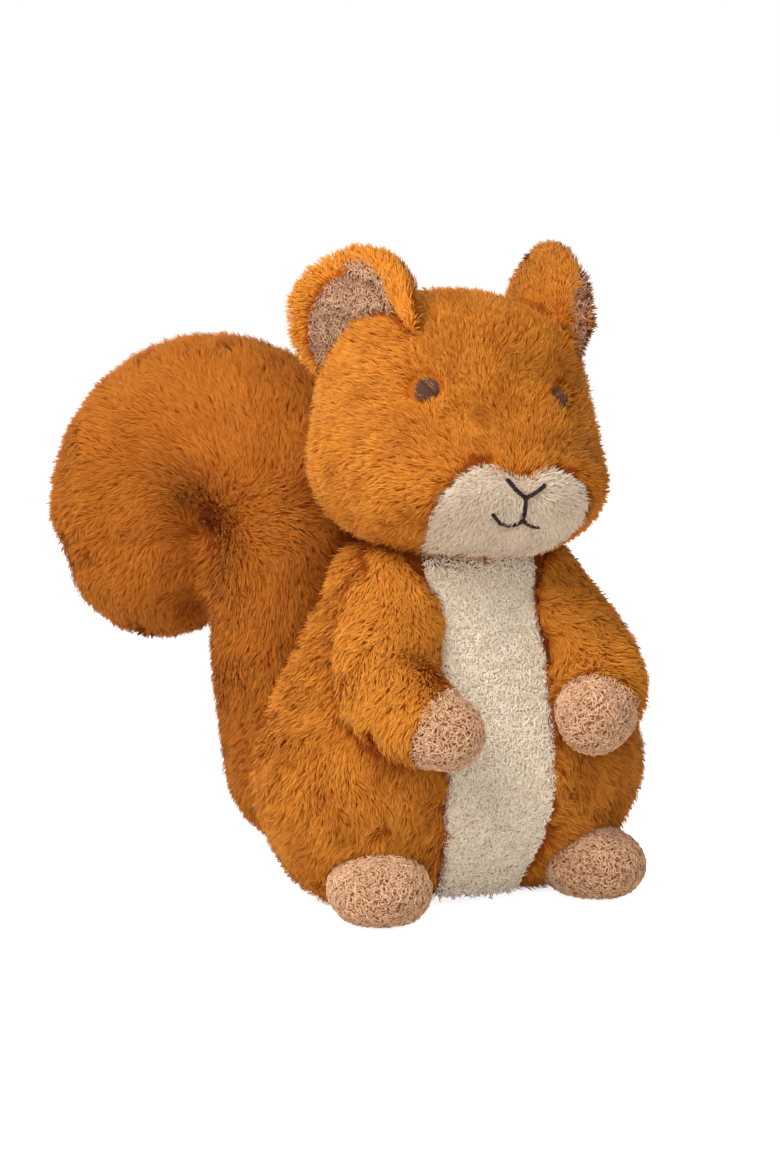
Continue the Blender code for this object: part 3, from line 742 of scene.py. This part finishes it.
def coat(node, depth, per_mm2, length, width, brushing, seed, material, voxel=3.0,
         stray=0.30, swirl=0.5, tuft=9, spots=(), root_pile=0.3, shade=0.2, proud=0.15,
         stuffed=True, fringe=0.0, rim=0.0, bare=None, calm=0.0, painted_crease_shade=2.2):
    """A skin with its pile; depth, length, width, voxel and proud are in mm.

    `shade` is the coat's share of the darker colour, set piece by piece partly as painted light
    and shade, `painted_crease_shade` how much more of it creases get as painted shade, and `calm`
    how even the coat is. `rim` turns the light on a strand the way that it leans.
    """
    skin = even_mesh(node, voxel * MM, depth * MM, node + "_skin", stuffed)
    roots, outward, high, closed = roots_on(skin, node, depth, per_mm2, seed, bare=bare)
    free, off = brushed_apart(roots, spots)
    keep = free > 0.0
    roots, outward, high, closed, free, off = (
        x[keep] for x in (roots, outward, high, closed, free, off))
    count = len(roots)
    chance = np.random.default_rng(seed + 4)
    flow, laid = brushed_flow(brushing, roots, outward, swirl, free, off, seed)
    owner, leaders = tufts(roots, tuft, seed + 3)
    turn = chance.normal(0, TUFT_TURN, len(leaders))[owner] + chance.normal(0, stray, count)
    side = np.cross(outward, flow)
    lean = unit(flow * np.cos(turn)[:, None] + side * np.sin(turn)[:, None])
    tuft_tone = chance.normal(0, TUFT_TONE, len(leaders))[owner]
    patch = waves(roots, PATCH_SIZE, seed + 5)[:, 0] * PATCH_TONE
    uneven = (tuft_tone + patch + chance.normal(0, STRAND_TONE, count)) * (1.0 - calm)
    # Creases get painted shade: more of the darker colour where the sky is closed.
    tone = shade + uneven + painted_crease_shade * np.clip(closed - CREASE_CLOSED, 0.0, 1.0)
    high = high * chance.uniform(*STRAND_HEIGHTS, count) + proud * MM
    high = high * (1.0 + TUFT_HEIGHT * chance.normal(0, 1.0, len(leaders))[owner])
    long = length * MM * chance.uniform(*STRAND_LENGTHS, count) * laid
    long = long * (1.0 + fringe * np.clip((FRINGE_TOP - roots[:, 2]) / FRINGE_FADE, 0.0, 1.0))
    upright = chance.uniform(size=count) < UPRIGHT_SHARE
    high = np.where(upright, high * UPRIGHT_HIGHER + UPRIGHT_RISE, high)
    long = np.where(upright, long * UPRIGHT_SHORTER, long)
    high = high * (1.0 - (1.0 - free) * LOWER_AT_THREAD)
    long = long * (1.0 - (1.0 - free) * SHORTER_AT_THREAD)
    lit = unit(outward + RELIEF * waves(roots, RELIEF_SIZE, seed + 7) + rim * lean)
    softness = SOFTNESS + CALM_SOFTNESS * calm
    places, normals, faces, at = blades(
        roots, outward, lean, high, long, width * MM, tone, lit, seed + 6, softness)
    middle = roots[leaders][owner] + flow * length * MM * TUFT_TIP + outward * high[:, None]
    drawn = (middle - places[:, 3]) * TUFT_PULL
    places[:, 3] += drawn
    places[:, 1:3] += drawn[:, None] * JOINT_PULL
    hair = (places.reshape(-1, 3), normals.reshape(-1, 3), faces.reshape(-1, 3),
            at.reshape(-1, 2))
    whole = join_up([skin_part(skin, FABRIC_TONE, root_pile), hair])
    bpy.data.objects.remove(skin)
    piece = piece_from(node + "_coat", whole, material)
    print(piece.name, "strands", count, "triangles", len(whole[2]))
    return piece


# %% [markdown]
# Each coat below has its own pile: its depth, how many strands stand on a square millimetre, their
# length and their width. A coat stays bare where another fabric covers it, and parts round the
# embroidery, so that the thread isn't hidden.

# %% The eight coats
# For each piece of embroidery, how near pile may grow to it and how far off it is brushed away.
eyes = [(solids["right_eye"], 0.4 * MM, 1.9 * MM), (solids["left_eye"], 0.3 * MM, 1.6 * MM)]
thread = [(solids["face_stitch"], 0.3 * MM, 1.8 * MM)]
# A coat's shade is partly painted light: the tail and the far, left ear get more of the darker colour
# as painted shade, and the near ear and the arms less of it as painted light.
coats = {
    "torso": coat("torso", 3.0, 4.0, 4.6, 0.34, brushed_torso, 100, caramel_pile,
                  shade=0.25, bare=under_belly),
    "head": coat("head", 2.8, 4.6, 4.2, 0.32, brushed_head, 200, caramel_pile, swirl=0.4,
                 spots=eyes, shade=0.23, bare=at_throat, painted_crease_shade=3.0),
    "tail": coat("tail", 3.2, 3.8, 4.8, 0.34, brushed_tail, 300, caramel_pile, shade=0.55,
                 stray=0.22, swirl=0.35, calm=0.6, painted_crease_shade=1.5),
    "right_ear": coat("right_ear", 2.0, 5.0, 3.6, 0.32, brushed_ear, 400, caramel_pile, 1.5,
                      shade=-0.05, rim=0.3, bare=lined_edge, calm=0.5),
    "left_ear": coat("left_ear", 2.0, 5.0, 3.6, 0.32, brushed_ear, 500, caramel_pile, 1.5,
                     shade=0.35, rim=0.8, bare=turned_rim, calm=0.3),
    "right_arm": coat("right_arm", 2.8, 4.6, 4.4, 0.34, brushed_arm, 600, caramel_pile, 2.0,
                      shade=-0.1, stray=0.24, swirl=0.35, calm=0.8, root_pile=0.45),
    "left_arm": coat("left_arm", 2.8, 4.6, 4.4, 0.34, brushed_arm, 700, caramel_pile, 2.0,
                     shade=-0.1),
    "muzzle": coat("muzzle", 1.4, 7.0, 2.4, 0.26, brushed_head, 800, cream_pile, 1.2,
                   swirl=0.25, tuft=6, spots=thread, root_pile=0.4, shade=0.2, proud=0.2,
                   stuffed=False, fringe=1.6),
}
for node, piece in coats.items():
    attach(piece, "root")
    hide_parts(node)

# %% [markdown]
# Terry is woven with loops of a soft twisted yarn that stand up and curl any way they like. Each
# loop end is a short bent tube of three sides, lying half over its neighbours.

# %% Terry
LOOP_SIDES = 3
LOOP_LENGTHS = (0.6, 1.25)
LOOP_HEIGHTS = (0.55, 1.05)
LOOP_HOOK = 0.55
LOOP_DEPTH = 0.4 * MM
# The line of a loop above its root, as shares of its height, its length and its hook.
LOOP_LINE = ((0.62, 0.18, 0.0), (0.95, 0.55, 0.35), (0.80, 0.95, 0.9))
# At the root and at each of these places, the share of its thickness, and its place between the
# colours of root and tip.
LOOP_THICKNESS = (0.8, 1.0, 1.0, 0.45)
LOOP_PILE = (0.05, 0.55, 0.95, 0.8)
# Single loops, and worn patches of this size, have more or less of the darker dye.
LOOP_TONE = 0.16
WORN_TONE, WORN_SIZE = 0.08, 8 * MM
# The belly's loops stand higher and lower in small waves.
RELIEF_PITCH = 4 * MM
# A place from which more than this share of the sky is hidden lies inside a cup.
# There the loops get painted shade: more of the darker colour.
CUP_CLOSED = 0.05
# The woven ground between the loops: its tone, and its place between the colours of root and tip.
# It is darker than the loops, as painted shade.
GROUND_TONE, GROUND_PILE = 0.5, 0.25
# Loops within this distance of the belly panel's ends are drawn out over its seams.
SEAM_REACH = 8 * MM


def loops(roots, outward, reach, length, thick, tone, seed):
    """Short curled tubes as vertices, normals, triangles and map places."""
    chance = np.random.default_rng(seed)
    count = len(roots)
    helper = unit(chance.normal(size=(count, 3)))
    lean = unit(helper - outward * np.sum(helper * outward, 1)[:, None])
    side = np.cross(outward, lean)
    long = (length * chance.uniform(*LOOP_LENGTHS, count))[:, None]
    high = (reach * chance.uniform(*LOOP_HEIGHTS, count))[:, None]
    hook = chance.normal(0, LOOP_HOOK, count)[:, None] * long
    stops = [roots - outward * LOOP_DEPTH]
    for rise, along, aside in LOOP_LINE:
        stops.append(roots + outward * high * rise + lean * long * along + side * hook * aside)
    places, normals, at = [], [], []
    for number, (stop, radius, pile) in enumerate(zip(stops, LOOP_THICKNESS, LOOP_PILE)):
        before = stops[max(0, number - 1)]
        after = stops[min(len(stops) - 1, number + 1)]
        way = unit(after - before)
        first = unit(np.cross(way, side + outward * 0.3))
        second = np.cross(way, first)
        for corner in range(LOOP_SIDES):
            angle = 2 * math.pi * corner / LOOP_SIDES
            ray = first * math.cos(angle) + second * math.sin(angle)
            places.append(stop + ray * thick / 2 * radius)
            normals.append(unit(ray * 0.75 + outward * 0.45))
            spot = np.empty((count, 2))
            spot[:, 0] = np.clip(tone, 0.02, 0.98) + 0.005 * (corner - 1)
            spot[:, 1] = np.clip(pile + 0.006 * corner, 0.01, 0.99)
            at.append(spot)
    faces = []
    for ring in range(len(LOOP_LINE)):
        for corner in range(LOOP_SIDES):
            a, b = ring * LOOP_SIDES + corner, ring * LOOP_SIDES + (corner + 1) % LOOP_SIDES
            faces += [[a, b, b + LOOP_SIDES], [a, b + LOOP_SIDES, a + LOOP_SIDES]]
    last = len(LOOP_LINE) * LOOP_SIDES
    faces.append([last, last + 1, last + 2])
    faces = np.array(faces)[None] + (np.arange(count) * len(places))[:, None, None]
    return (np.stack(places, 1).reshape(-1, 3), np.stack(normals, 1).reshape(-1, 3),
            faces.reshape(-1, 3), np.stack(at, 1).reshape(-1, 2))


def terry(node, depth, per_mm2, length, thick, seed, material, voxel=1.5, shade=0.25,
          stuffed=True, stretched=None, relief=0.0, over=None, painted_cup_shade=0.0):
    """A skin with loops; depth, length, thick and voxel are in mm.

    `over` names another node and the region of it that this fabric laps over, `stretched` says how
    far the loops at the top and the foot are drawn out, and `painted_cup_shade` how much painted
    shade darkens the inside of a cup.
    """
    skin = even_mesh(node, voxel * MM, depth * MM, node + "_skin", stuffed)
    roots, outward, high, closed = roots_on(skin, node, depth, per_mm2, seed)
    if over:
        rim = even_mesh(over[0], voxel * MM, depth * MM, node + "_rim", False)
        more = roots_on(rim, over[0], depth, per_mm2, seed + 4, only=over[1])
        bpy.data.objects.remove(rim)
        roots, outward, high, closed = (
            np.concatenate(pair) for pair in zip((roots, outward, high, closed), more))
    high = high * (1.0 + relief * waves(roots, RELIEF_PITCH, seed + 5)[:, 0])
    if stretched:
        top, foot = roots[:, 2].max() - SEAM_REACH, roots[:, 2].min() + SEAM_REACH
        roots[:, 2] += stretched[0] * np.maximum(roots[:, 2] - top, 0.0)
        roots[:, 2] -= stretched[1] * np.maximum(foot - roots[:, 2], 0.0)
    chance = np.random.default_rng(seed + 1)
    tone = shade + chance.normal(0, LOOP_TONE, len(roots))
    tone = tone + waves(roots, WORN_SIZE, seed + 2)[:, 0] * WORN_TONE
    # Inside a cup the loops get painted shade.
    tone = tone + painted_cup_shade * np.clip(closed - CUP_CLOSED, 0.0, 1.0)
    made = loops(roots, outward, high, length * MM, thick * MM, tone, seed + 3)
    whole = join_up([skin_part(skin, GROUND_TONE, GROUND_PILE), made])
    bpy.data.objects.remove(skin)
    piece = piece_from(node + "_terry", whole, material)
    print(piece.name, "loops", len(roots), "triangles", len(whole[2]))
    return piece


terries = {
    "belly_panel": terry("belly_panel", 1.4, 3.6, 1.7, 0.34, 1000, cream_terry, shade=0.15,
                         stuffed=False, stretched=(0.45, 0.3), relief=0.3),
    "right_paw": terry("right_paw", 1.8, 2.4, 2.3, 0.44, 1100, beige_terry),
    "left_paw": terry("left_paw", 1.8, 2.4, 2.3, 0.44, 1200, beige_terry),
    "right_foot": terry("right_foot", 1.8, 2.4, 2.3, 0.44, 1300, beige_terry),
    "left_foot": terry("left_foot", 1.8, 2.4, 2.3, 0.44, 1400, beige_terry),
    "right_ear_lining": terry("right_ear_lining", 1.2, 2.8, 2.1, 0.40, 1500, lining_terry, 1.0,
                              shade=0.3, stuffed=False, over=("right_ear", lined_edge),
                              painted_cup_shade=1.3),
    # The left lining's turned rim lies in shade, painted as more of the darker colour.
    "left_ear_lining": terry("left_ear_lining", 1.2, 2.8, 2.1, 0.40, 1600, lining_terry, 1.0,
                             shade=0.65, stuffed=False, over=("left_ear", turned_rim)),
}
for node, piece in terries.items():
    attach(piece, "root")
    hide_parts(node)

# %% [markdown]
# The eyes are satin stitch: threads laid side by side, aslant over a low mound. The nose and the
# mouth are short stitches, each lying half over the last. Both are made of small spindles of thread.

# %% Thread
STATIONS = 6
SIDES = 6
# How thick a stitch still is at its ends, as a share of its middle.
STITCH_END = 0.08
# Embroidery thread is about 0.3 mm thick. The eyes are drawn with one twice as coarse, because a
# finer one doesn't show as threads from where the toy is seen.
EYE_PITCH = 0.60 * MM
EYE_HALF_WIDTH, EYE_HALF_HEIGHT = 0.34 * MM, 0.40 * MM
EYE_SHORTEST = 0.6 * MM
EYE_MOUND = 0.8 * MM
EYE_ARCH = 0.9 * MM
EYE_SLANT = math.radians(48.0)
# The nose and the mouth are sewn with a thicker yarn, each stitch turned across the run.
STITCH_PITCH = 1.05 * MM
STITCH_TURN = 0.38
STITCH_LIFT = 0.35 * MM
STITCH_HALF_LENGTH, STITCH_HALF_WIDTH, STITCH_HALF_HEIGHT = 1.15 * MM, 0.68 * MM, 0.66 * MM
STITCH_ARCH = 0.25 * MM
# How far ahead and behind the way of a run is read.
STITCH_AHEAD = 0.3 * MM


def spindle(middle, along, upward, half_length, half_width, half_height, tone, arch):
    """A stitch: a tube that closes at both ends and sinks at them by its arch."""
    aside = np.cross(upward, along)
    places, normals, at = [], [], []
    for step in range(STATIONS):
        go = -1.0 + 2.0 * step / (STATIONS - 1)
        full = math.sqrt(max(0.0, 1.0 - abs(go) ** 3)) * (1.0 - STITCH_END) + STITCH_END
        centre = middle + along * go * half_length - upward * arch * go * go
        for side in range(SIDES):
            angle = 2 * math.pi * side / SIDES
            ray = aside * math.cos(angle) * half_width + upward * math.sin(angle) * half_height
            places.append(centre + ray * full)
            normals.append(unit(ray / half_width + along * go * (0.2 if abs(go) < 1.0 else 1.0)))
            # Painted highlight on a stitch's top, painted shade on its underside.
            at.append((tone + 0.02 * go, 0.5 + 0.45 * math.sin(angle) + 0.02 * go))
    faces = []
    for step in range(STATIONS - 1):
        for side in range(SIDES):
            a, b = step * SIDES + side, step * SIDES + (side + 1) % SIDES
            faces += [[a, b, b + SIDES], [a, b + SIDES, a + SIDES]]
    last = (STATIONS - 1) * SIDES
    for side in range(1, SIDES - 1):
        faces += [[0, side + 1, side], [last, last + side, last + side + 1]]
    return np.array(places), np.array(normals), np.array(faces), np.array(at)


def satin_eye(node, radius, seed):
    """Threads side by side over the disc of an eye, raised a little in the middle."""
    chance = np.random.default_rng(seed)
    places = places_of(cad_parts[node].data)
    middle = places.mean(0)
    outward = np.linalg.svd(places - middle)[2][2]
    outward = outward if outward[1] < 0 else -outward
    surface = middle + outward * np.max((places - middle) @ outward)
    level = unit(np.cross(outward, (0.0, 0.0, 1.0)))
    rise = np.cross(level, outward)
    along = level * math.cos(EYE_SLANT) + rise * math.sin(EYE_SLANT)
    aside = np.cross(outward, along)
    parts = []
    reach = int(radius / EYE_PITCH)
    for number in range(-reach, reach + 1):
        off = number * EYE_PITCH
        half = math.sqrt(max(0.0, radius**2 - off**2)) + chance.normal(0, 0.10) * MM
        if half < EYE_SHORTEST:
            continue
        lift = EYE_MOUND * (1.0 - (off / radius) ** 2)
        centre = surface + aside * off + outward * lift
        tone = float(np.clip(0.35 + chance.normal(0, 0.12), 0.05, 0.95))
        parts.append(spindle(centre, along, outward, half, EYE_HALF_WIDTH, EYE_HALF_HEIGHT, tone,
                             EYE_ARCH * (half / radius) ** 2))
    piece = piece_from(node + "_satin", join_up(parts), eye_thread)
    print(piece.name, "threads", len(parts))
    return piece


HEAD_TURN = (Matrix.Translation((0.0, 0.0, 0.16)) @ Matrix.Rotation(math.radians(6.5), 4, "Y")
             @ Matrix.Translation((0.0, 0.0, -0.16)))
NOSE_FORK, STEM_FOOT = (0.6, 145.6), (2.1, 137.7)
STITCH_RUNS = (
    (NOSE_FORK, (1.2, 141.8), STEM_FOOT),
    ((-6.1, 150.8), (-3.3, 147.9), NOSE_FORK),
    ((7.2, 149.7), (4.2, 147.6), NOSE_FORK),
    (STEM_FOOT, (0.3, 136.3), (-2.6, 135.7), (-5.6, 136.4), (-9.4, 139.2)),
    (STEM_FOOT, (4.4, 136.6), (6.6, 135.9), (9.0, 135.7)),
)


def on_muzzle(point):
    """A point of the face, across and up in mm before the head leans over, put on the muzzle."""
    start = HEAD_TURN @ Vector((point[0] * MM, -0.2, point[1] * MM))
    hit = solids["muzzle"].ray_cast(start, Vector((0.0, 1.0, 0.0)))
    return np.array(hit[0]), np.array(hit[1])


def along_run(here, gone, values):
    """The values of a run at this distance along it."""
    return np.array([np.interp(here, gone, values[:, i]) for i in range(3)])


def face_stitch():
    """Short stitches along each run, every one turned a little across it."""
    chance = np.random.default_rng(1700)
    parts = []
    for run in STITCH_RUNS:
        spots = [on_muzzle(point) for point in run]
        line = np.array([spot[0] for spot in spots])
        faces = np.array([spot[1] for spot in spots])
        gone = np.concatenate([[0.0], np.cumsum(np.linalg.norm(np.diff(line, axis=0), axis=1))])
        count = max(2, round(gone[-1] / STITCH_PITCH))
        for number in range(count + 1):
            here = gone[-1] * number / count
            spot = along_run(here, gone, line)
            upward = unit(along_run(here, gone, faces))
            ahead = along_run(here + STITCH_AHEAD, gone, line)
            behind = along_run(here - STITCH_AHEAD, gone, line)
            along = unit(ahead - behind)
            turn = STITCH_TURN + chance.normal(0, 0.10)
            way = unit(along * math.cos(turn) + np.cross(upward, along) * math.sin(turn))
            way = unit(way - upward * np.dot(way, upward))
            tone = float(np.clip(0.4 + chance.normal(0, 0.2), 0.05, 0.95))
            parts.append(spindle(spot + upward * STITCH_LIFT, way, upward, STITCH_HALF_LENGTH,
                                 STITCH_HALF_WIDTH, STITCH_HALF_HEIGHT, tone, STITCH_ARCH))
    piece = piece_from("face_stitch_thread", join_up(parts), face_thread)
    print(piece.name, "stitches", len(parts))
    return piece


threads = {
    "right_eye": (satin_eye("right_eye", 4.6 * MM, 1800), "brown_thread"),
    "left_eye": (satin_eye("left_eye", 4.3 * MM, 1900), "brown_thread"),
    "face_stitch": (face_stitch(), "black_thread"),
}
for node, (piece, slot) in threads.items():
    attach(piece, "root")
    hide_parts(node)
